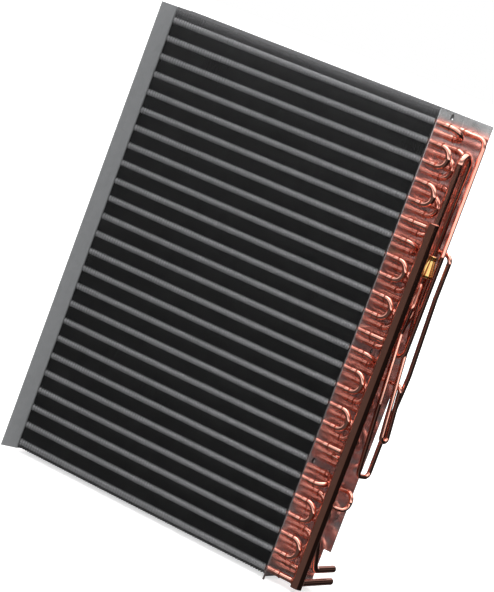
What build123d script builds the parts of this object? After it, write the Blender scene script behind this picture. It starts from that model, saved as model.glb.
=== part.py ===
"""Finned heat exchanger coil: three rows of copper hairpins in a block of
aluminium fins, two steel end plates, a suction header and a four-way
distributor. Millimetres, +Z up, the fins' front face looks along -Y and the
header is at the +X end. The origin is the middle of the bottom of the
coil's bounding box."""
from build123d import *
from math import asin, atan2, cos, degrees, pi, radians, sin, tan
import os

os.makedirs("parts", exist_ok=True)

# ---------------------------------------------------------------- dimensions
# Working zero: outer face of the right plate (x), front face of the fins (y),
# bottom of the fins (z). These three place it in the part's frame.
SHEET_X = 188.505
FINS_Y = -38.95
FINS_Z = 6.5

# fin block
FIN_H = 635.0              # height of the fins
FIN_D = 66.0               # depth, front to back
FIN_LEFT = -421.10         # outer faces of the first and last fin
FIN_RIGHT = -4.85
TUBE_PITCH = 25.4          # up a row
ROW_PITCH = 22.0           # row to row
ROW_Y = (11.0, 33.0, 55.0)

# tubes
TUBE_R = 3.97              # 5/16 inch copper tube
TUBE_BORE = 3.56
FIT = 0.02                 # radial clearance of every tube in its hole
BEND_R = TUBE_PITCH / 2    # centreline radius of hairpins and return bends
BELL_R = 4.41              # expanded end that takes a bend
BELL_BORE = 3.99
LIP_R = 5.30               # flare at the bell's mouth
BELL_START = 4.5
BELL_END = 13.3
BEND_IN = 7.0              # where a bend's end sits in its bell
HAIRPIN_TURN = -427.0      # where the left U starts

# end plates
SHEET_T = 1.5
SHEET_BOTTOM = -1.8
SHEET_TOP = 634.8
SHEET_FRONT = -3.2
FOLD_IN = 1.5              # inner radius of the folds
REAR_FACE = 67.0           # front side of the right plate's rear flange
FLANGE_X = 42.0            # outer edge of that flange
NOTCH_X = 31.2             # the flange is cut back to this below NOTCH_Z
NOTCH_Z = 49.0
FOOT_Z = -6.5              # two short feet at the right plate's lower corners
FOOT_W = 3.2
LEFT_X = -422.5            # inner face of the left plate
FLARE = 22.5               # degrees, the left plate's front flange
FLARE_W = 25.0
LEFT_REAR = 68.5
LEFT_REAR_FLANGE = -442.0

# suction header
HEADER_X, HEADER_Y = 40.7, 11.0
HEADER_R, HEADER_BORE = 7.5, 6.5
HEADER_BOTTOM, HEADER_TOP = -0.5, 496.3
BRANCH_END = 35.2
SUCTION_Z = 6.6
SUCTION_R, SUCTION_BORE = 4.76, 4.26    # 3/8 inch tube
SUCTION_START = 4.2        # behind the header's axis
SUCTION_END = 101.0

# liquid line
LINE_X = 38.1
LINE_R, LINE_BORE = 4.76, 3.96    # 3/8 inch tube
LINE_REAR, LINE_Z = 101.0, 23.1
RISER_Y, DOWN_Y = 23.4, 46.3
GOOSE_Z = 588.8

# distributor, on the axis of the liquid line's last leg
DIST_TOP, DIST_SHOULDER, DIST_BAND, DIST_BOTTOM = 455.9, 450.0, 430.3, 427.3
DIST_NECK_R, DIST_BASE_R = 5.9, 8.5
DIST_CIRCLE = 4.65

# feeder tubes
FEED_R, FEED_BORE = 3.175, 2.475    # 1/4 inch tube
FEED_START = 10.2
BUSH_END = 20.0

# ---------------------------------------------------------------- positions


def at(x, y, z):
    return (SHEET_X + x, FINS_Y + y, FINS_Z + z)


def level(n):
    """height of tube n of the front and rear rows, 1 is the top"""
    return FIN_H - (n - 0.25) * TUBE_PITCH


def level_mid(k):
    """height of tube k of the middle row, 0 is the top"""
    return FIN_H - (k + 0.25) * TUBE_PITCH


def bent_path(points, radii):
    """straight runs joined by tangent arcs, drawn in the open BuildLine"""
    pts = [Vector(*p) for p in points]
    begin = pts[0]
    for i in range(1, len(pts) - 1):
        back = (pts[i - 1] - pts[i]).normalized()
        ahead = (pts[i + 1] - pts[i]).normalized()
        half = radians(back.get_angle(ahead)) / 2
        r = radii[i - 1]
        reach = r / tan(half)
        p1 = pts[i] + back * reach
        p2 = pts[i] + ahead * reach
        middle = (back + ahead).normalized()
        crown = pts[i] + middle * (r / sin(half) - r)
        if (p1 - begin).length > 1e-4:
            Line(begin, p1)
        ThreePointArc(p1, crown, p2)
        begin = p2
    if (pts[-1] - begin).length > 1e-4:
        Line(begin, pts[-1])


rows_used = {
    1: [n for n in range(1, 26) if n != 19],
    3: [n for n in range(1, 26) if n != 13],
}
mid_used = list(range(1, 25))

all_holes = (
    [(ROW_Y[0], level(n)) for n in range(1, 26)]
    + [(ROW_Y[1], level_mid(k)) for k in range(0, 25)]
    + [(ROW_Y[2], level(n)) for n in range(1, 26)]
)
spare_holes = [(ROW_Y[0], level(19)), (ROW_Y[1], level_mid(0)), (ROW_Y[2], level(13))]
tube_holes = [h for h in all_holes if h not in spare_holes]

# ---------------------------------------------------------------- fin block
with BuildPart() as fin_pack:
    with BuildSketch(Plane(origin=at(FIN_LEFT, 0, 0), x_dir=(0, 1, 0), z_dir=(1, 0, 0))):
        with Locations((FIN_D / 2, FIN_H / 2)):
            Rectangle(FIN_D, FIN_H)
        with Locations(*all_holes):
            Circle(TUBE_R + FIT, mode=Mode.SUBTRACT)
    extrude(amount=FIN_RIGHT - FIN_LEFT)
fin_pack.part.label = "fin_pack"
export_step(fin_pack.part, "parts/fin_pack.step")

# ---------------------------------------------------------------- left plate
turn = radians(FLARE)
lx0, lx1 = LEFT_X, LEFT_X - SHEET_T
edge_in = (lx0 - FLARE_W * sin(turn), -FLARE_W * cos(turn))
edge_out = (edge_in[0] - SHEET_T * cos(turn), edge_in[1] + SHEET_T * sin(turn))
fold_out = (lx1, SHEET_T * tan(turn / 2))
with BuildPart() as left_tube_sheet:
    with BuildSketch(Plane.XY.offset(FINS_Z + SHEET_BOTTOM)) as left_profile:
        with BuildLine():
            Polyline(
                *[at(x, y, 0)[:2] for x, y in (
                    (lx0, 0), edge_in, edge_out, fold_out,
                    (lx1, LEFT_REAR - SHEET_T), (LEFT_REAR_FLANGE, LEFT_REAR - SHEET_T),
                    (LEFT_REAR_FLANGE, LEFT_REAR), (lx0, LEFT_REAR))],
                close=True,
            )
        make_face()
        corners = left_profile.vertices()
        fx, fy, _ = at(lx1, LEFT_REAR - SHEET_T, 0)
        fillet([v for v in corners if abs(v.X - fx) < 0.01 and abs(v.Y - fy) < 0.01], FOLD_IN)
        corners = left_profile.vertices()
        fx, fy, _ = at(lx0, LEFT_REAR, 0)
        fillet([v for v in corners if abs(v.X - fx) < 0.01 and abs(v.Y - fy) < 0.01], FOLD_IN + SHEET_T)
    extrude(amount=SHEET_TOP - SHEET_BOTTOM)
    with BuildSketch(Plane(origin=at(lx1 - 1, 0, 0), x_dir=(0, 1, 0), z_dir=(1, 0, 0))):
        with Locations(*tube_holes):
            Circle(TUBE_R + FIT)
        with Locations(*spare_holes):
            Circle(4.3)
    extrude(amount=SHEET_T + 2, mode=Mode.SUBTRACT)
left_tube_sheet.part.label = "left_tube_sheet"
export_step(left_tube_sheet.part, "parts/left_tube_sheet.step")

# ---------------------------------------------------------------- right plate
outer = FOLD_IN + SHEET_T
with BuildPart() as right_tube_sheet:
    with BuildSketch(Plane.XY.offset(FINS_Z + FOOT_Z)) as right_profile:
        with BuildLine():
            Polyline(
                *[at(x, y, 0)[:2] for x, y in (
                    (-SHEET_T, SHEET_FRONT), (0, SHEET_FRONT), (0, REAR_FACE),
                    (FLANGE_X, REAR_FACE), (FLANGE_X, REAR_FACE + SHEET_T),
                    (-SHEET_T, REAR_FACE + SHEET_T))],
                close=True,
            )
        make_face()
        corners = right_profile.vertices()
        fx, fy, _ = at(0, REAR_FACE, 0)
        fillet([v for v in corners if abs(v.X - fx) < 0.01 and abs(v.Y - fy) < 0.01], FOLD_IN)
        corners = right_profile.vertices()
        fx, fy, _ = at(-SHEET_T, REAR_FACE + SHEET_T, 0)
        fillet([v for v in corners if abs(v.X - fx) < 0.01 and abs(v.Y - fy) < 0.01], outer)
    extrude(amount=SHEET_TOP - FOOT_Z)
    # tube holes
    with BuildSketch(Plane(origin=at(-SHEET_T - 1, 0, 0), x_dir=(0, 1, 0), z_dir=(1, 0, 0))):
        with Locations(*tube_holes):
            Circle(TUBE_R + FIT)
        with Locations(*spare_holes):
            Circle(4.3)
    extrude(amount=SHEET_T + 2, mode=Mode.SUBTRACT)
    # lower edge between the feet
    with BuildSketch(Plane(origin=at(-SHEET_T - 1, 0, 0), x_dir=(0, 1, 0), z_dir=(1, 0, 0))):
        with BuildLine():
            Polyline((SHEET_FRONT + FOOT_W, FOOT_Z - 1), (SHEET_FRONT + FOOT_W, SHEET_BOTTOM),
                     (REAR_FACE - 6.0, SHEET_BOTTOM), (REAR_FACE - 3.0, FOOT_Z - 1), close=True)
        make_face()
    extrude(amount=SHEET_T + 2, mode=Mode.SUBTRACT)
    # notch in the flange round the pipe stubs, and the flange's lower edge
    with BuildSketch(Plane(origin=at(0, REAR_FACE + SHEET_T + 1, 0), x_dir=(1, 0, 0), z_dir=(0, -1, 0))) as notch:
        with BuildLine():
            Polyline((NOTCH_X, FOOT_Z - 1), (NOTCH_X, NOTCH_Z), (FLANGE_X + 3, NOTCH_Z),
                     (FLANGE_X + 3, FOOT_Z - 1), close=True)
        make_face()
        fillet([v for v in notch.vertices() if abs(v.X - at(NOTCH_X, 0, 0)[0]) < 0.01
                and abs(v.Z - at(0, 0, NOTCH_Z)[2]) < 0.01], 3.0)
    extrude(amount=SHEET_T + 2, mode=Mode.SUBTRACT)
    with BuildSketch(Plane(origin=at(0, REAR_FACE + SHEET_T + 1, 0), x_dir=(1, 0, 0), z_dir=(0, -1, 0))):
        with BuildLine():
            Polyline((12.0, FOOT_Z - 1), (14.0, SHEET_BOTTOM), (NOTCH_X + 1, SHEET_BOTTOM),
                     (NOTCH_X + 1, FOOT_Z - 1), close=True)
        make_face()
    extrude(amount=SHEET_T + 2, mode=Mode.SUBTRACT)
right_tube_sheet.part.label = "right_tube_sheet"
export_step(right_tube_sheet.part, "parts/right_tube_sheet.step")

# ---------------------------------------------------------------- hairpins
# one hairpin whose upper leg lies on the working zero's x axis
with BuildPart() as hairpin:
    with BuildLine() as hairpin_path:
        bent_path(
            [(BELL_START, 0, 0), (HAIRPIN_TURN - BEND_R, 0, 0),
             (HAIRPIN_TURN - BEND_R, 0, -TUBE_PITCH), (BELL_START, 0, -TUBE_PITCH)],
            [BEND_R, BEND_R],
        )
    with BuildSketch(Plane(origin=(BELL_START, 0, 0), z_dir=(-1, 0, 0))):
        Circle(TUBE_R)
        Circle(TUBE_BORE, mode=Mode.SUBTRACT)
    sweep()
    for z in (0, -TUBE_PITCH):
        with BuildSketch(Plane(origin=(0, 0, z), x_dir=(1, 0, 0), z_dir=(0, -1, 0))):
            with BuildLine():
                Polyline((BELL_START, TUBE_R), (BELL_START + 1.5, BELL_R), (12.2, BELL_R),
                         (BELL_END, LIP_R), (BELL_END, LIP_R - 0.3), (12.3, BELL_BORE),
                         (BELL_START + 1.7, BELL_BORE), (BELL_START + 0.2, TUBE_BORE),
                         (BELL_START, TUBE_BORE), close=True)
            make_face()
        revolve(axis=Axis((0, 0, z), (1, 0, 0)))
print("hairpin sweep length", hairpin_path.wires()[0].length)

left_pairs_1 = [(1, 2), (3, 4), (5, 6), (7, 8), (9, 10), (11, 12), (13, 14), (15, 16), (17, 18),
                (20, 21), (22, 23), (24, 25)]
left_pairs_2 = [(k, k + 1) for k in range(1, 24, 2)]
left_pairs_3 = [(1, 2), (3, 4), (5, 6), (7, 8), (9, 10), (11, 12), (14, 15), (16, 17), (18, 19),
                (20, 21), (22, 23), (24, 25)]

with BuildPart() as hairpin_tubes_row_1:
    with Locations(*[at(0, ROW_Y[0], level(a)) for a, b in left_pairs_1]):
        add(hairpin.part)
hairpin_tubes_row_1.part.label = "hairpin_tubes_row_1"
export_step(hairpin_tubes_row_1.part, "parts/hairpin_tubes_row_1.step")

with BuildPart() as hairpin_tubes_row_2:
    with Locations(*[at(0, ROW_Y[1], level_mid(a)) for a, b in left_pairs_2]):
        add(hairpin.part)
hairpin_tubes_row_2.part.label = "hairpin_tubes_row_2"
export_step(hairpin_tubes_row_2.part, "parts/hairpin_tubes_row_2.step")

with BuildPart() as hairpin_tubes_row_3:
    with Locations(*[at(0, ROW_Y[2], level(a)) for a, b in left_pairs_3]):
        add(hairpin.part)
hairpin_tubes_row_3.part.label = "hairpin_tubes_row_3"
export_step(hairpin_tubes_row_3.part, "parts/hairpin_tubes_row_3.step")

# ---------------------------------------------------------------- return bends
with BuildPart() as bend:
    with BuildLine() as bend_path:
        bent_path(
            [(BEND_IN, 0, 0), (13.2 + BEND_R, 0, 0), (13.2 + BEND_R, 0, -TUBE_PITCH),
             (BEND_IN, 0, -TUBE_PITCH)],
            [BEND_R, BEND_R],
        )
    with BuildSketch(Plane(origin=(BEND_IN, 0, 0), z_dir=(1, 0, 0))):
        Circle(TUBE_R)
        Circle(TUBE_BORE, mode=Mode.SUBTRACT)
    sweep()
print("bend sweep length", bend_path.wires()[0].length)

bends_1 = [(2, 3), (4, 5), (8, 9), (10, 11), (14, 15), (16, 17), (21, 22), (23, 24)]
bends_2 = [(2, 3), (4, 5), (8, 9), (10, 11), (14, 15), (16, 17), (20, 21), (22, 23)]
bends_3 = [(2, 3), (4, 5), (8, 9), (10, 11), (15, 16), (17, 18), (21, 22), (23, 24)]
cross_12 = [(1, 1), (7, 7), (13, 13), (20, 19)]      # row 1 tube to row 2 tube
cross_23 = [(6, 6), (12, 12), (18, 19), (24, 25)]    # row 2 tube to row 3 tube

with BuildPart() as return_bends_row_1:
    with Locations(*[at(0, ROW_Y[0], level(a)) for a, b in bends_1]):
        add(bend.part)
return_bends_row_1.part.label = "return_bends_row_1"
export_step(return_bends_row_1.part, "parts/return_bends_row_1.step")

with BuildPart() as return_bends_row_2:
    with Locations(*[at(0, ROW_Y[1], level_mid(a)) for a, b in bends_2]):
        add(bend.part)
return_bends_row_2.part.label = "return_bends_row_2"
export_step(return_bends_row_2.part, "parts/return_bends_row_2.step")

with BuildPart() as return_bends_row_3:
    with Locations(*[at(0, ROW_Y[2], level(a)) for a, b in bends_3]):
        add(bend.part)
return_bends_row_3.part.label = "return_bends_row_3"
export_step(return_bends_row_3.part, "parts/return_bends_row_3.step")


def slanted(y1, z1, y2, z2):
    """place for a bend from the first tube to the second"""
    return Location(at(0, y1, z1), (degrees(atan2(y2 - y1, z1 - z2)), 0, 0))


with BuildPart() as crossover_bends_row_1_2:
    with Locations(*[slanted(ROW_Y[0], level(a), ROW_Y[1], level_mid(b)) for a, b in cross_12]):
        add(bend.part)
crossover_bends_row_1_2.part.label = "crossover_bends_row_1_2"
export_step(crossover_bends_row_1_2.part, "parts/crossover_bends_row_1_2.step")

with BuildPart() as crossover_bends_row_2_3:
    with Locations(*[slanted(ROW_Y[1], level_mid(a), ROW_Y[2], level(b)) for a, b in cross_23]):
        add(bend.part)
crossover_bends_row_2_3.part.label = "crossover_bends_row_2_3"
export_step(crossover_bends_row_2_3.part, "parts/crossover_bends_row_2_3.step")

# ---------------------------------------------------------------- bell braze rings
with BuildPart() as ring:
    with BuildSketch(Plane(origin=(0, 0, 0), x_dir=(1, 0, 0), z_dir=(0, -1, 0))):
        with BuildLine():
            Polyline((13.80, TUBE_R + FIT), (12.65, TUBE_R + FIT), (12.65, 4.30),
                     (13.32, 4.96), (13.32, 5.18))
            ThreePointArc((13.32, 5.18), (13.66, 4.62), (13.80, TUBE_R + FIT))
        make_face()
    revolve(axis=Axis.X)

with BuildPart() as bell_braze_rings:
    with Locations(*[at(0, y, z) for y, z in tube_holes]):
        add(ring.part)
bell_braze_rings.part.label = "bell_braze_rings"
export_step(bell_braze_rings.part, "parts/bell_braze_rings.step")

# ---------------------------------------------------------------- suction header
branch_levels = [level(n) for n in (6, 12, 18, 25)]
with BuildPart() as suction_header_tube:
    with BuildSketch(Plane(origin=at(HEADER_X, HEADER_Y, HEADER_BOTTOM))):
        Circle(HEADER_R)
        Circle(HEADER_BORE, mode=Mode.SUBTRACT)
    extrude(amount=HEADER_TOP - HEADER_BOTTOM)
    with BuildSketch(Plane(origin=at(HEADER_X - 10, 0, 0), x_dir=(0, 1, 0), z_dir=(1, 0, 0))):
        with Locations(*[(HEADER_Y, z) for z in branch_levels]):
            Circle(TUBE_R + FIT)
    extrude(amount=10, mode=Mode.SUBTRACT)
    with BuildSketch(Plane(origin=at(HEADER_X, HEADER_Y + 10, SUCTION_Z), x_dir=(1, 0, 0), z_dir=(0, -1, 0))):
        Circle(SUCTION_R + FIT)
    extrude(amount=10, mode=Mode.SUBTRACT)
suction_header_tube.part.label = "suction_header_tube"
export_step(suction_header_tube.part, "parts/suction_header_tube.step")

with BuildPart() as header_end_caps:
    for z, way in ((HEADER_TOP - 0.4, -1), (HEADER_BOTTOM + 0.4, 1)):
        with BuildSketch(Plane(origin=at(HEADER_X, HEADER_Y, z), z_dir=(0, 0, way))):
            Circle(HEADER_BORE - FIT)
        extrude(amount=1.2)
header_end_caps.part.label = "header_end_caps"
export_step(header_end_caps.part, "parts/header_end_caps.step")

with BuildPart() as header_branches:
    with BuildSketch(Plane(origin=at(BEND_IN, 0, 0), x_dir=(0, 1, 0), z_dir=(1, 0, 0))):
        with Locations(*[(HEADER_Y, z) for z in branch_levels]):
            Circle(TUBE_R)
            Circle(TUBE_BORE, mode=Mode.SUBTRACT)
    extrude(amount=BRANCH_END - BEND_IN)
header_branches.part.label = "header_branches"
export_step(header_branches.part, "parts/header_branches.step")

with BuildPart() as suction_stub:
    with BuildSketch(Plane(origin=at(HEADER_X, HEADER_Y + SUCTION_START, SUCTION_Z), x_dir=(-1, 0, 0), z_dir=(0, 1, 0))):
        Circle(SUCTION_R)
        Circle(SUCTION_BORE, mode=Mode.SUBTRACT)
    extrude(amount=SUCTION_END - HEADER_Y - SUCTION_START)
suction_stub.part.label = "suction_stub"
export_step(suction_stub.part, "parts/suction_stub.step")

with BuildPart() as header_braze_rings:
    for z in branch_levels:
        with BuildSketch(Plane(origin=at(0, HEADER_Y, z), x_dir=(1, 0, 0), z_dir=(0, -1, 0))):
            with BuildLine():
                Polyline((32.3, TUBE_R + FIT), (35.2, TUBE_R + FIT), (35.2, 5.1), (34.0, 5.1),
                         (32.3, 4.2), close=True)
            make_face()
        revolve(axis=Axis(at(0, HEADER_Y, z), (1, 0, 0)))
    with BuildSketch(Plane(origin=at(HEADER_X, HEADER_Y, SUCTION_Z), x_dir=(0, 1, 0), z_dir=(1, 0, 0))):
        with BuildLine():
            Polyline((8.6, SUCTION_R + FIT), (5.0, SUCTION_R + FIT), (5.0, 5.9), (6.2, 5.9),
                     (8.6, 5.1), close=True)
        make_face()
    revolve(axis=Axis(at(HEADER_X, HEADER_Y, SUCTION_Z), (0, 1, 0)))
    with BuildSketch(Plane(origin=at(HEADER_X, HEADER_Y, HEADER_BOTTOM - 1))):
        Circle(HEADER_R + FIT)
    extrude(amount=HEADER_TOP + 2, mode=Mode.SUBTRACT)
header_braze_rings.part.label = "header_braze_rings"
export_step(header_braze_rings.part, "parts/header_braze_rings.step")

# ---------------------------------------------------------------- liquid line
with BuildPart() as liquid_line:
    with BuildLine() as liquid_path:
        bent_path(
            [at(LINE_X, LINE_REAR, LINE_Z), at(LINE_X, 47.5, LINE_Z), at(LINE_X, RISER_Y, 68.0),
             at(LINE_X, RISER_Y, GOOSE_Z), at(LINE_X, DOWN_Y, GOOSE_Z),
             at(LINE_X, DOWN_Y, 451.6)],
            [13.0, 18.0, 11.4, 11.4],
        )
    with BuildSketch(Plane(origin=at(LINE_X, LINE_REAR, LINE_Z), z_dir=(0, -1, 0))):
        Circle(LINE_R)
        Circle(LINE_BORE, mode=Mode.SUBTRACT)
    sweep()
liquid_line.part.label = "liquid_line"
export_step(liquid_line.part, "parts/liquid_line.step")
print("liquid line", liquid_line.part.volume,
      pi * (LINE_R ** 2 - LINE_BORE ** 2) * liquid_path.wires()[0].length)

# ---------------------------------------------------------------- distributor
feed_spots = [(LINE_X, DOWN_Y + DIST_CIRCLE), (LINE_X - DIST_CIRCLE, DOWN_Y),
              (LINE_X + DIST_CIRCLE, DOWN_Y), (LINE_X, DOWN_Y - DIST_CIRCLE)]
with BuildPart() as distributor_body:
    with BuildSketch(Plane(origin=at(LINE_X, DOWN_Y, 0), x_dir=(1, 0, 0), z_dir=(0, -1, 0))):
        with BuildLine():
            Polyline((LINE_R + FIT, DIST_TOP), (DIST_NECK_R - 0.4, DIST_TOP),
                     (DIST_NECK_R, DIST_TOP - 0.4), (DIST_NECK_R, DIST_SHOULDER),
                     (DIST_BASE_R, DIST_BAND), (DIST_BASE_R, DIST_BOTTOM + 0.2),
                     (DIST_BASE_R - 0.2, DIST_BOTTOM), (0, DIST_BOTTOM), (0, 431.9),
                     (6.4, 431.9), (3.6, 447.0), (LINE_R + FIT, 447.0), close=True)
        make_face()
    revolve(axis=Axis(at(LINE_X, DOWN_Y, 0), (0, 0, 1)))
    with BuildSketch(Plane(origin=at(0, 0, DIST_BOTTOM - 1))):
        with Locations(*feed_spots):
            Circle(FEED_R + FIT)
    extrude(amount=6.0, mode=Mode.SUBTRACT)
distributor_body.part.label = "distributor_body"
export_step(distributor_body.part, "parts/distributor_body.step")

with BuildPart() as distributor_nozzle:
    with BuildSketch(Plane(origin=at(LINE_X, DOWN_Y, 447.02))):
        Circle(LINE_R)
        Circle(1.2, mode=Mode.SUBTRACT)
    extrude(amount=2.4)
distributor_nozzle.part.label = "distributor_nozzle"
export_step(distributor_nozzle.part, "parts/distributor_nozzle.step")

with BuildPart() as distributor_retainer_ring:
    with BuildSketch(Plane(origin=at(LINE_X, DOWN_Y, 449.5))):
        Circle(LINE_R)
        Circle(3.9, mode=Mode.SUBTRACT)
    extrude(amount=1.0)
distributor_retainer_ring.part.label = "distributor_retainer_ring"
export_step(distributor_retainer_ring.part, "parts/distributor_retainer_ring.step")

with BuildPart() as distributor_braze_rings:
    with BuildSketch(Plane(origin=at(LINE_X, DOWN_Y, 0), x_dir=(1, 0, 0), z_dir=(0, -1, 0))):
        with BuildLine():
            Polyline((LINE_R + FIT, DIST_TOP + 0.02), (LINE_R + FIT, DIST_TOP + 1.0),
                     (DIST_NECK_R - 0.5, DIST_TOP + 0.02), close=True)
        make_face()
    revolve(axis=Axis(at(LINE_X, DOWN_Y, 0), (0, 0, 1)))
    with BuildSketch(Plane(origin=at(LINE_X, DOWN_Y, DIST_BOTTOM - 0.02), z_dir=(0, 0, -1))):
        Circle(DIST_BASE_R - 0.25)
    extrude(amount=0.5)
    with BuildSketch(Plane(origin=at(0, 0, DIST_BOTTOM - 1))):
        with Locations(*feed_spots):
            Circle(FEED_R + FIT)
    extrude(amount=1.2, mode=Mode.SUBTRACT)
distributor_braze_rings.part.label = "distributor_braze_rings"
export_step(distributor_braze_rings.part, "parts/distributor_braze_rings.step")

# ---------------------------------------------------------------- feeders
feed_levels = [level(n) for n in (1, 7, 14, 20)]
with BuildPart() as feeder_bushings:
    for z in feed_levels:
        with BuildSketch(Plane(origin=at(0, ROW_Y[2], z), x_dir=(1, 0, 0), z_dir=(0, -1, 0))):
            with BuildLine():
                Polyline((BEND_IN, 2.4), (BEND_IN, TUBE_R), (BUSH_END - 1.0, TUBE_R),
                         (BUSH_END, 3.6), (BUSH_END, FEED_R + FIT), (10.0, FEED_R + FIT),
                         (10.0, 2.4), close=True)
            make_face()
        revolve(axis=Axis(at(0, ROW_Y[2], z), (1, 0, 0)))
feeder_bushings.part.label = "feeder_bushings"
export_step(feeder_bushings.part, "parts/feeder_bushings.step")

FEED_TOP = 431.6
# outlets of the distributor: (rear), (left), (right), (front)
OUT_1, OUT_4, OUT_3, OUT_2 = feed_spots
feeder_routes = {
    1: ([(FEED_START, 55, level(1)), (45.5, 55, level(1)), (52.6, 41.2, 460), (52.6, 41.2, 322.5),
         (33.2, 41.95, 322.5), (33.2, 41.95, 342), (*OUT_1, 380), (*OUT_1, FEED_TOP)],
        [11.0, 30.0, 9.6, 9.6, 20.0, 20.0]),
    2: ([(FEED_START, 55, level(7)), (58.4, 55, level(7)), (58.2, 55, 405), (58.2, 64.3, 300),
         (54.4, 64.3, 215), (54.4, 64.3, 159.5), (50.6, 42.3, 159.5), (47.9, 33.1, 255),
         (39.7, 35.6, 352), (40.9, 36.5, 388), (*OUT_2, 416), (*OUT_2, FEED_TOP)],
        [9.0, 40.0, 40.0, 30.0, 7.0, 7.0, 40.0, 40.0, 30.0, 30.0]),
    3: ([(FEED_START, 55, level(14)), (57.5, 55, level(14)), (63.9, 58.0, 212), (61.2, 47.0, 212),
         (49.4, 48.7, 324), (*OUT_3, 392), (*OUT_3, FEED_TOP)],
        [8.0, 5.4, 5.4, 40.0, 30.0]),
    4: ([(FEED_START, 55, level(20)), (49.3, 55, level(20)), (49.3, 53, 109.5),
         (33.3, 33.5, 110), (33.3, 33.5, 360), (*OUT_4, 395), (*OUT_4, FEED_TOP)],
        [11.0, 11.0, 9.0, 20.0, 20.0]),
}


def feeder_checks(name, part, path):
    print(name, part.volume, pi * (FEED_R ** 2 - FEED_BORE ** 2) * path.wires()[0].length)


with BuildPart() as feeder_tube_1:
    with BuildLine() as feed_path_1:
        bent_path([at(*p) for p in feeder_routes[1][0]], feeder_routes[1][1])
    with BuildSketch(Plane(origin=at(*feeder_routes[1][0][0]), z_dir=(1, 0, 0))):
        Circle(FEED_R)
        Circle(FEED_BORE, mode=Mode.SUBTRACT)
    sweep()
feeder_tube_1.part.label = "feeder_tube_1"
export_step(feeder_tube_1.part, "parts/feeder_tube_1.step")
feeder_checks("feeder 1", feeder_tube_1.part, feed_path_1)

with BuildPart() as feeder_tube_2:
    with BuildLine() as feed_path_2:
        bent_path([at(*p) for p in feeder_routes[2][0]], feeder_routes[2][1])
    with BuildSketch(Plane(origin=at(*feeder_routes[2][0][0]), z_dir=(1, 0, 0))):
        Circle(FEED_R)
        Circle(FEED_BORE, mode=Mode.SUBTRACT)
    sweep()
feeder_tube_2.part.label = "feeder_tube_2"
export_step(feeder_tube_2.part, "parts/feeder_tube_2.step")
feeder_checks("feeder 2", feeder_tube_2.part, feed_path_2)

with BuildPart() as feeder_tube_3:
    with BuildLine() as feed_path_3:
        bent_path([at(*p) for p in feeder_routes[3][0]], feeder_routes[3][1])
    with BuildSketch(Plane(origin=at(*feeder_routes[3][0][0]), z_dir=(1, 0, 0))):
        Circle(FEED_R)
        Circle(FEED_BORE, mode=Mode.SUBTRACT)
    sweep()
feeder_tube_3.part.label = "feeder_tube_3"
export_step(feeder_tube_3.part, "parts/feeder_tube_3.step")
feeder_checks("feeder 3", feeder_tube_3.part, feed_path_3)

with BuildPart() as feeder_tube_4:
    with BuildLine() as feed_path_4:
        bent_path([at(*p) for p in feeder_routes[4][0]], feeder_routes[4][1])
    with BuildSketch(Plane(origin=at(*feeder_routes[4][0][0]), z_dir=(1, 0, 0))):
        Circle(FEED_R)
        Circle(FEED_BORE, mode=Mode.SUBTRACT)
    sweep()
feeder_tube_4.part.label = "feeder_tube_4"
export_step(feeder_tube_4.part, "parts/feeder_tube_4.step")
feeder_checks("feeder 4", feeder_tube_4.part, feed_path_4)

for built in (fin_pack, left_tube_sheet, right_tube_sheet, hairpin_tubes_row_1, hairpin_tubes_row_2,
              hairpin_tubes_row_3, return_bends_row_1, return_bends_row_2, return_bends_row_3,
              crossover_bends_row_1_2, crossover_bends_row_2_3, bell_braze_rings, suction_header_tube,
              header_end_caps, header_branches, suction_stub, header_braze_rings, liquid_line,
              distributor_body, distributor_nozzle, distributor_retainer_ring,
              distributor_braze_rings, feeder_bushings, feeder_tube_1, feeder_tube_2, feeder_tube_3,
              feeder_tube_4):
    box = built.part.bounding_box()
    print(f"{built.part.label:28s} solids {len(built.part.solids()):3d} volume {built.part.volume:12.1f} "
          f"X {box.min.X:8.2f} {box.max.X:8.2f} Y {box.min.Y:8.2f} {box.max.Y:8.2f} "
          f"Z {box.min.Z:8.2f} {box.max.Z:8.2f}")
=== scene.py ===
import math

import bpy
from mathutils import Matrix, Vector


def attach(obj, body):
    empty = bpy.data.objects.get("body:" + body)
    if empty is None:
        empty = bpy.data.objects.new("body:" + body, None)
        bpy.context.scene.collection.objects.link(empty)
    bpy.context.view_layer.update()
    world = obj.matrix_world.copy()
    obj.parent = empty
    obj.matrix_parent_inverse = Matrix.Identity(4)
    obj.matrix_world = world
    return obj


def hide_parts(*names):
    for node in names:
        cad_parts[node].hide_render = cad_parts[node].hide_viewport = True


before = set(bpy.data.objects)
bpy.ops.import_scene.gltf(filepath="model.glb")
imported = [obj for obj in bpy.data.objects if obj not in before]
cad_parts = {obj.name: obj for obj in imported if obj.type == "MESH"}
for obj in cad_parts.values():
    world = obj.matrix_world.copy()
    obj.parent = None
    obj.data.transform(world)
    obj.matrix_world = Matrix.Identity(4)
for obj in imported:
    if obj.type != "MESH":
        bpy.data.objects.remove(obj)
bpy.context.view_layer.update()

# ------------------------------------------------------------------ places
# Metres. Working zero, as in the CAD: outer face of the right plate (x),
# front face of the fins (y), bottom of the fins (z).
SX, FY, FZ = 0.188505, -0.03895, 0.0065
PITCH = 0.0254
FIN_H, FIN_D = 0.635, 0.066
FIN_STEP = 0.00412
FIN_COUNT = 102
FIN_T = 0.00020
ROW_Y = (0.011, 0.033, 0.055)


def level(n):
    return FIN_H - (n - 0.25) * PITCH


def level_mid(k):
    return FIN_H - (k + 0.25) * PITCH


scene = bpy.context.scene
main = scene.collection


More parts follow.
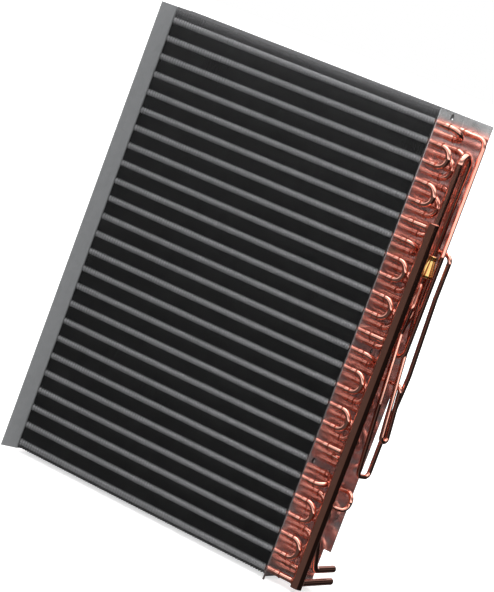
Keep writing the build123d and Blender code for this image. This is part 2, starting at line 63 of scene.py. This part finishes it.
def link(name, verts, faces, smooth=False):
    mesh = bpy.data.meshes.new(name)
    mesh.from_pydata(verts, [], faces)
    mesh.validate()
    mesh.update()
    if smooth:
        mesh.polygons.foreach_set("use_smooth", [True] * len(mesh.polygons))
    obj = bpy.data.objects.new(name, mesh)
    main.objects.link(obj)
    return obj


# ------------------------------------------------------------------ materials
def new_material(name):
    mat = bpy.data.materials.new(name)
    mat.use_nodes = True
    tree = mat.node_tree
    tree.nodes.clear()
    out = tree.nodes.new("ShaderNodeOutputMaterial")
    shader = tree.nodes.new("ShaderNodeBsdfPrincipled")
    tree.links.new(shader.outputs["BSDF"], out.inputs["Surface"])
    return mat, tree, shader


def coords(tree, scale):
    tex = tree.nodes.new("ShaderNodeTexCoord")
    mapping = tree.nodes.new("ShaderNodeMapping")
    mapping.inputs["Scale"].default_value = scale
    tree.links.new(tex.outputs["Object"], mapping.inputs["Vector"])
    return mapping.outputs["Vector"]


def noise(tree, vector, scale, detail=4.0, rough=0.55, distort=0.0):
    node = tree.nodes.new("ShaderNodeTexNoise")
    node.inputs["Scale"].default_value = scale
    node.inputs["Detail"].default_value = detail
    node.inputs["Roughness"].default_value = rough
    node.inputs["Distortion"].default_value = distort
    tree.links.new(vector, node.inputs["Vector"])
    return node.outputs["Fac"]


def ramp(tree, fac, stops, mode="LINEAR"):
    node = tree.nodes.new("ShaderNodeValToRGB")
    node.color_ramp.interpolation = mode
    els = node.color_ramp.elements
    while len(els) < len(stops):
        els.new(0.5)
    for el, (pos, col) in zip(els, stops):
        el.position = pos
        el.color = (*col, 1.0)
    tree.links.new(fac, node.inputs["Fac"])
    return node.outputs["Color"]


def spread(tree, fac, low, high):
    node = tree.nodes.new("ShaderNodeMapRange")
    node.inputs["To Min"].default_value = low
    node.inputs["To Max"].default_value = high
    tree.links.new(fac, node.inputs["Value"])
    return node.outputs["Result"]


def math_node(tree, op, a, b):
    node = tree.nodes.new("ShaderNodeMath")
    node.operation = op
    for socket, value in zip(node.inputs, (a, b)):
        if isinstance(value, (int, float)):
            socket.default_value = value
        else:
            tree.links.new(value, socket)
    return node.outputs["Value"]


def bump(tree, shader, height, strength, distance):
    node = tree.nodes.new("ShaderNodeBump")
    node.inputs["Strength"].default_value = strength
    node.inputs["Distance"].default_value = distance
    tree.links.new(height, node.inputs["Height"])
    tree.links.new(node.outputs["Normal"], shader.inputs["Normal"])


def fin_material():
    """thin rolled aluminium sheet; less metallic along the top edge, a painted light for the light that
    falls in between the fins from above
    """
    mat, tree, sh = new_material("fin_aluminium")
    v = coords(tree, (1, 1, 1))
    split = tree.nodes.new("ShaderNodeSeparateXYZ")
    tree.links.new(v, split.inputs["Vector"])
    # painted light: the top 16 mm of each fin is made less metallic so that it lights up like light
    # falling in between the fins from above
    fade = tree.nodes.new("ShaderNodeMapRange")
    fade.inputs["From Min"].default_value = FZ + FIN_H - 0.016
    fade.inputs["From Max"].default_value = FZ + FIN_H - 0.002
    fade.inputs["To Min"].default_value = 0.97
    fade.inputs["To Max"].default_value = 0.68
    tree.links.new(split.outputs["Z"], fade.inputs["Value"])
    tree.links.new(fade.outputs["Result"], sh.inputs["Metallic"])
    n = noise(tree, coords(tree, (60, 9, 1.5)), 14, 3)
    col = ramp(tree, n, [(0.25, (0.45, 0.45, 0.455)), (0.75, (0.53, 0.53, 0.535))])
    tree.links.new(col, sh.inputs["Base Color"])
    tree.links.new(spread(tree, noise(tree, v, 40, 3), 0.16, 0.26), sh.inputs["Roughness"])
    bump(tree, sh, noise(tree, coords(tree, (1, 4, 1)), 60, 2), 0.05, 0.0006)
    return mat


def collar_material():
    """drawn aluminium collars round the tubes, a little matt from forming"""
    mat, tree, sh = new_material("collar_aluminium")
    v = coords(tree, (1, 1, 1))
    sh.inputs["Metallic"].default_value = 0.45
    n = noise(tree, coords(tree, (1, 1, 1)), 700, 4)
    col = ramp(tree, n, [(0.3, (0.90, 0.90, 0.905)), (0.7, (0.98, 0.98, 0.985))])
    tree.links.new(col, sh.inputs["Base Color"])
    tree.links.new(spread(tree, noise(tree, v, 600, 3), 0.19, 0.24), sh.inputs["Roughness"])
    bump(tree, sh, noise(tree, coords(tree, (3, 1, 1)), 700, 2), 0.05, 0.0001)
    return mat


def plate_material(name, metallic, rough_low, rough_high, low, high, painted_copper_reflection=None, cast=(1, 1, 1)):
    """galvanised steel sheet: faint spangle, rolling lines, small scuffs; the warm tint below the top tube
    is a painted reflection of the copper tubes"""
    mat, tree, sh = new_material(name)
    sh.inputs["Metallic"].default_value = metallic
    v = coords(tree, (1, 1, 1))
    cells = tree.nodes.new("ShaderNodeTexVoronoi")
    cells.feature = "F1"
    cells.inputs["Scale"].default_value = 160.0
    tree.links.new(v, cells.inputs["Vector"])
    grey = tree.nodes.new("ShaderNodeRGBToBW")
    tree.links.new(cells.outputs["Color"], grey.inputs["Color"])
    lines = noise(tree, coords(tree, (160, 160, 3)), 6, 3)
    mixed = math_node(tree, "ADD", math_node(tree, "MULTIPLY", grey.outputs["Val"], 0.35),
                      math_node(tree, "MULTIPLY", lines, 0.65))
    col = ramp(tree, mixed, [(0.2, tuple(low * c for c in cast)), (0.8, tuple(high * c for c in cast))])
    # painted reflection: below the top tube the sheet's colour is tinted pink like the copper tubes it
    # mirrors
    if painted_copper_reflection:
        split = tree.nodes.new("ShaderNodeSeparateXYZ")
        tree.links.new(v, split.inputs["Vector"])
        fade = tree.nodes.new("ShaderNodeMapRange")
        fade.inputs["From Min"].default_value = FZ + level(1) + 0.004
        fade.inputs["From Max"].default_value = FZ + level(1) + 0.010
        tree.links.new(split.outputs["Z"], fade.inputs["Value"])
        tint = ramp(tree, fade.outputs["Result"], [(0.0, painted_copper_reflection), (1.0, (0.96, 0.97, 0.97))])
        times = tree.nodes.new("ShaderNodeMix")
        times.data_type = "RGBA"
        times.blend_type = "MULTIPLY"
        times.inputs[0].default_value = 1.0
        tree.links.new(col, times.inputs[6])
        tree.links.new(tint, times.inputs[7])
        col = times.outputs[2]
    tree.links.new(col, sh.inputs["Base Color"])
    tree.links.new(spread(tree, mixed, rough_low, rough_high), sh.inputs["Roughness"])
    bump(tree, sh, mixed, 0.03, 0.0003)
    return mat


def copper_material(name, light, dark, rough_low, rough_high, draw=(1, 1, 1)):
    """drawn copper tube: slight drawing lines, heat tint in patches"""
    mat, tree, sh = new_material(name)
    sh.inputs["Metallic"].default_value = 1.0
    v = coords(tree, (1, 1, 1))
    patches = noise(tree, v, 45, 5, 0.6, 0.4)
    col = ramp(tree, patches, [(0.28, dark), (0.72, light)])
    tree.links.new(col, sh.inputs["Base Color"])
    fine = noise(tree, coords(tree, draw), 220, 4)
    tree.links.new(spread(tree, fine, rough_low, rough_high), sh.inputs["Roughness"])
    bump(tree, sh, fine, 0.05, 0.0003)
    return mat


def brass_material():
    mat, tree, sh = new_material("turned_brass")
    sh.inputs["Metallic"].default_value = 1.0
    v = coords(tree, (1, 1, 1))
    rings = noise(tree, coords(tree, (0.2, 0.2, 40)), 60, 2)
    col = ramp(tree, rings, [(0.3, (0.80, 0.53, 0.16)), (0.7, (0.93, 0.68, 0.28))])
    tree.links.new(col, sh.inputs["Base Color"])
    tree.links.new(spread(tree, noise(tree, v, 300, 3), 0.07, 0.12), sh.inputs["Roughness"])
    bump(tree, sh, rings, 0.05, 0.0002)
    return mat


def braze_material():
    """brazing alloy: darker copper-phosphorus, uneven and slightly matt"""
    mat, tree, sh = new_material("braze_alloy")
    sh.inputs["Metallic"].default_value = 1.0
    v = coords(tree, (1, 1, 1))
    n = noise(tree, v, 260, 5, 0.65)
    col = ramp(tree, n, [(0.3, (0.45, 0.09, 0.05)), (0.75, (0.75, 0.28, 0.18))])
    tree.links.new(col, sh.inputs["Base Color"])
    tree.links.new(spread(tree, n, 0.45, 0.22), sh.inputs["Roughness"])
    bump(tree, sh, n, 0.35, 0.0006)
    return mat


FINS = fin_material()
COLLAR = collar_material()
PLATE = plate_material("galvanised_sheet", 0.25, 0.46, 0.56, 0.225, 0.258, cast=(0.965, 0.985, 1.0))
# the pink tint passed here is a painted reflection of the copper tubes
GLOSS_PLATE = plate_material("galvanised_sheet_bright", 0.93, 0.15, 0.21, 0.68, 0.78, (1.0, 0.83, 0.82))
COPPER = copper_material("drawn_copper", (0.95, 0.48, 0.375), (0.89, 0.38, 0.29), 0.05, 0.10)
HEADER = copper_material("header_copper", (0.90, 0.44, 0.33), (0.82, 0.37, 0.27), 0.06, 0.09, (1, 1, 0.05))
BRASS = brass_material()
BRAZE = braze_material()

node_material = {
    "left_tube_sheet": PLATE,
    "right_tube_sheet": GLOSS_PLATE,
    "suction_header_tube": HEADER,
    "header_end_caps": HEADER,
    "distributor_body": BRASS,
    "distributor_nozzle": BRASS,
    "distributor_retainer_ring": PLATE,
    "bell_braze_rings": BRAZE,
    "header_braze_rings": BRAZE,
    "distributor_braze_rings": BRAZE,
}
for name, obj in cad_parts.items():
    mat = node_material.get(name, COPPER)
    for slot in obj.material_slots:
        slot.material = mat

# ------------------------------------------------------------------ fins
SPARE = [(ROW_Y[0], level(19)), (ROW_Y[1], level_mid(0)), (ROW_Y[2], level(13))]
HOLE_R = 0.0040
HOLE_N = 20


def fin_outline():
    """triangles of one fin's sheet with its three open holes"""
    from mathutils.geometry import delaunay_2d_cdt

    pts = []
    edges = []

    def loop(points):
        first = len(pts)
        pts.extend(Vector(p) for p in points)
        edges.extend((first + i, first + (i + 1) % len(points)) for i in range(len(points)))

    loop([(0, 0), (FIN_D, 0), (FIN_D, FIN_H), (0, FIN_H)])
    for cy, cz in SPARE:
        loop([(cy + HOLE_R * math.cos(2 * math.pi * i / HOLE_N),
               cz + HOLE_R * math.sin(2 * math.pi * i / HOLE_N)) for i in range(HOLE_N)])
    out_pts, _, tris, _, _, _ = delaunay_2d_cdt(pts, edges, [], 0, 1e-7)
    keep = []
    for tri in tris:
        c = sum((out_pts[i] for i in tri), Vector((0, 0))) / 3
        if all((c - Vector(s)).length > HOLE_R * 0.98 for s in SPARE):
            keep.append(tuple(tri))
    return [tuple(p) for p in out_pts], keep


outline, sheet_tris = fin_outline()
# boundary edges, in the triangles' own direction
seen = {}
for tri in sheet_tris:
    for a, b in ((tri[0], tri[1]), (tri[1], tri[2]), (tri[2], tri[0])):
        seen[(a, b)] = True
rim = [(a, b) for (a, b) in seen if (b, a) not in seen]

fin_pieces = []
per_piece = 34
for group in range(3):
    verts, faces = [], []
    for i in range(group * per_piece, (group + 1) * per_piece):
        x = SX - 0.0015 - 0.00345 - FIN_STEP * i
        base = len(verts)
        n = len(outline)
        for side in (-1, 1):
            for y, z in outline:
                verts.append((x + side * FIN_T / 2, FY + y, FZ + z))
        for a, b, c in sheet_tris:
            faces.append((base + n + a, base + n + b, base + n + c))
            faces.append((base + c, base + b, base + a))
        for a, b in rim:
            faces.append((base + a, base + b, base + n + b, base + n + a))
    obj = link(f"fins_{group + 1}", verts, faces)
    obj.data.materials.append(FINS)
    fin_pieces.append(obj)

# ------------------------------------------------------------------ collars
# Each fin has a collar drawn round the tube that reaches the next fin.
COLLAR_N = 18
collar_profile = [(0.02, 0.00462), (0.10, 0.00434), (0.30, 0.00424), (0.88, 0.00421), (0.97, 0.00430)]


def collars(name, y, levels):
    verts, faces = [], []
    for z in levels:
        rings = []
        for i in range(FIN_COUNT):
            x = SX - 0.0015 - 0.00345 - FIN_STEP * i
            if i == FIN_COUNT - 1:
                continue
            for t, r in collar_profile:
                rings.append((x - FIN_STEP * t, r))
        start = len(verts)
        for x, r in rings:
            for k in range(COLLAR_N):
                a = 2 * math.pi * (k + 0.5) / COLLAR_N
                verts.append((x, FY + y + r * math.cos(a), FZ + z + r * math.sin(a)))
        for i in range(len(rings) - 1):
            for k in range(COLLAR_N):
                a = start + i * COLLAR_N + k
                b = start + i * COLLAR_N + (k + 1) % COLLAR_N
                faces.append((a, b, b + COLLAR_N, a + COLLAR_N))
        for at, turn in ((0, 1), (len(rings) - 1, -1)):
            ring = [start + at * COLLAR_N + k for k in range(COLLAR_N)]
            faces.append(tuple(ring[::-1] if turn > 0 else ring))
    obj = link(name, verts, faces, smooth=True)
    obj.data.materials.append(COLLAR)
    return obj


def sleeves(name, y, levels):
    verts, faces = [], []
    n = 20
    x0 = SX - 0.0015 - 0.00345
    x1 = x0 - FIN_STEP * (FIN_COUNT - 1)
    for z in levels:
        start = len(verts)
        for x in (x0, x1):
            for k in range(n):
                a = 2 * math.pi * k / n
                verts.append((x, FY + y + 0.00424 * math.cos(a), FZ + z + 0.00424 * math.sin(a)))
        for k in range(n):
            a = start + k
            b = start + (k + 1) % n
            faces.append((a, b, b + n, a + n))
        faces.append(tuple(start + k for k in range(n))[::-1])
        faces.append(tuple(start + n + k for k in range(n)))
    obj = link(name, verts, faces, smooth=True)
    obj.data.materials.append(COLLAR)
    return obj


row1 = [level(n) for n in range(1, 26)]
row2 = [level_mid(k) for k in range(1, 25)]
row3 = [level(n) for n in range(1, 26) if n != 13]
collar_pieces = [
    collars("collars_row_1_upper", ROW_Y[0], row1[:8]),
    collars("collars_row_1_middle", ROW_Y[0], row1[8:16]),
    collars("collars_row_1_lower", ROW_Y[0], [z for z in row1[16:] if abs(z - level(19)) > 0.001]),
    collars("collars_row_1_spare", ROW_Y[0], [level(19)]),
    sleeves("collars_row_2", ROW_Y[1], row2),
    sleeves("collars_row_3", ROW_Y[2], row3),
]

for piece in fin_pieces + collar_pieces:
    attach(piece, "root")
    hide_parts("fin_pack")

# ------------------------------------------------------------------ stage
floor_mat, floor_tree, floor_sh = new_material("studio_floor")
floor_sh.inputs["Base Color"].default_value = (0.80, 0.80, 0.80, 1)
floor_sh.inputs["Roughness"].default_value = 0.9
floor_sh.inputs["Emission Color"].default_value = (1, 1, 1, 1)
floor_sh.inputs["Emission Strength"].default_value = 0.60
rings = 96
verts, faces = [(0, 0, -0.0002)], []
for k in range(rings):
    a = 2 * math.pi * k / rings
    verts.append((60 * math.cos(a), 60 * math.sin(a), -0.0002))
for k in range(rings):
    faces.append((0, 1 + k, 1 + (k + 1) % rings))
floor = link("studio_floor", verts, faces)
floor.data.materials.append(floor_mat)
floor.visible_glossy = False

# ------------------------------------------------------------------ world
world = bpy.data.worlds.new("studio")
scene.world = world
world.use_nodes = True
wt = world.node_tree
wt.nodes.clear()
w_out = wt.nodes.new("ShaderNodeOutputWorld")
w_bg = wt.nodes.new("ShaderNodeBackground")
w_seen = wt.nodes.new("ShaderNodeBackground")
w_mix = wt.nodes.new("ShaderNodeMixShader")
w_path = wt.nodes.new("ShaderNodeLightPath")
w_tex = wt.nodes.new("ShaderNodeTexCoord")
w_sep = wt.nodes.new("ShaderNodeSeparateXYZ")
wt.links.new(w_tex.outputs["Generated"], w_sep.inputs["Vector"])
w_range = wt.nodes.new("ShaderNodeMapRange")
w_range.inputs["From Min"].default_value = -1.0
w_range.inputs["From Max"].default_value = 1.0
wt.links.new(w_sep.outputs["Z"], w_range.inputs["Value"])
w_ramp = wt.nodes.new("ShaderNodeValToRGB")
els = w_ramp.color_ramp.elements
stops = [(0.0, 0.10), (0.498, 0.09), (0.506, 1.60), (0.565, 1.50), (0.64, 0.32),
         (0.76, 0.42), (0.84, 1.85), (1.0, 2.1)]
while len(els) < len(stops):
    els.new(0.5)
for el, (p, g) in zip(els, stops):
    el.position = p
    el.color = (g, g, g * 1.01, 1)
wt.links.new(w_range.outputs["Result"], w_ramp.inputs["Fac"])
# The room is dark towards the right: a wide sector under the horizon, and
# a narrower one above it.


def sector(axis, start, end, dark):
    dot = wt.nodes.new("ShaderNodeVectorMath")
    dot.operation = "DOT_PRODUCT"
    dot.inputs[1].default_value = axis
    wt.links.new(w_tex.outputs["Generated"], dot.inputs[0])
    node = wt.nodes.new("ShaderNodeMapRange")
    node.inputs["From Min"].default_value = start
    node.inputs["From Max"].default_value = end
    node.inputs["To Min"].default_value = 1.0
    node.inputs["To Max"].default_value = dark
    wt.links.new(dot.outputs["Value"], node.inputs["Value"])
    return node.outputs["Result"]


def step(start, end):
    node = wt.nodes.new("ShaderNodeMapRange")
    node.inputs["From Min"].default_value = start
    node.inputs["From Max"].default_value = end
    wt.links.new(w_sep.outputs["Z"], node.inputs["Value"])
    return node.outputs["Result"]


def blend(fac, first, second):
    node = wt.nodes.new("ShaderNodeMix")
    node.data_type = "FLOAT"
    wt.links.new(fac, node.inputs[0])
    for socket, value in ((node.inputs[2], first), (node.inputs[3], second)):
        if isinstance(value, (int, float)):
            socket.default_value = value
        else:
            wt.links.new(value, socket)
    return node.outputs[0]


w_under = sector((0.94, 0.34, 0.0), 0.42, 0.56, 0.12)
w_above = sector((0.656, 0.755, 0.0), 0.70, 0.84, 0.05)
w_left = sector((-0.966, -0.259, 0.0), 0.80, 0.90, 0.30)
w_shade = blend(step(0.55, 0.72),
                blend(step(-0.02, 0.02), w_under, math_node(wt, "MULTIPLY", w_above, w_left)), 1.0)
wt.links.new(w_shade, w_bg.inputs["Strength"])
wt.links.new(w_ramp.outputs["Color"], w_bg.inputs["Color"])
w_seen.inputs["Color"].default_value = (1, 1, 1, 1)
w_seen.inputs["Strength"].default_value = 1.0
wt.links.new(w_path.outputs["Is Camera Ray"], w_mix.inputs["Fac"])
wt.links.new(w_bg.outputs["Background"], w_mix.inputs[1])
wt.links.new(w_seen.outputs["Background"], w_mix.inputs[2])
wt.links.new(w_mix.outputs["Shader"], w_out.inputs["Surface"])


# ------------------------------------------------------------------ lights
def area(name, place, target, size, size_y, power, color=(1, 1, 1)):
    data = bpy.data.lights.new(name, "AREA")
    data.shape = "RECTANGLE"
    data.size = size
    data.size_y = size_y
    data.energy = power
    data.color = color
    obj = bpy.data.objects.new(name, data)
    main.objects.link(obj)
    obj.location = place
    way = Vector(target) - Vector(place)
    obj.rotation_euler = way.to_track_quat("-Z", "Y").to_euler()
    return obj


area("top_softbox", (-0.1, -0.35, 2.6), (0.0, 0.0, 0.35), 1.6, 1.0, 16)

# ------------------------------------------------------------------ camera
# Fitted to the photograph: azimuth, elevation and roll in degrees.
AZ, EL, ROLL = math.radians(29.037), math.radians(6.724), math.radians(20.494)
place = Vector((1.3830 + SX, -2.7953 + FY, 0.6953 + FZ))
d = Vector((-math.sin(AZ) * math.cos(EL), math.cos(AZ) * math.cos(EL), -math.sin(EL)))
r = Vector((math.cos(AZ), math.sin(AZ), 0))
u = r.cross(d)
right = math.cos(ROLL) * r + math.sin(ROLL) * u
up = -math.sin(ROLL) * r + math.cos(ROLL) * u
cam_data = bpy.data.cameras.new("camera")
cam = bpy.data.objects.new("camera", cam_data)
main.objects.link(cam)
rot = Matrix((right, up, -d)).transposed().to_4x4()
cam.matrix_world = Matrix.Translation(place) @ rot
cam_data.sensor_fit = "VERTICAL"
cam_data.sensor_height = 36.0
cam_data.sensor_width = 36.0
cam_data.lens = 150.93
cam_data.clip_start = 0.05
cam_data.clip_end = 200.0
cam_data.dof.use_dof = False
scene.camera = cam

scene.view_settings.view_transform = "Standard"
scene.view_settings.look = "None"
scene.view_settings.exposure = 0.0
scene.view_settings.gamma = 1.0

# ------------------------------------------------------------------ update
bpy.context.view_layer.update()
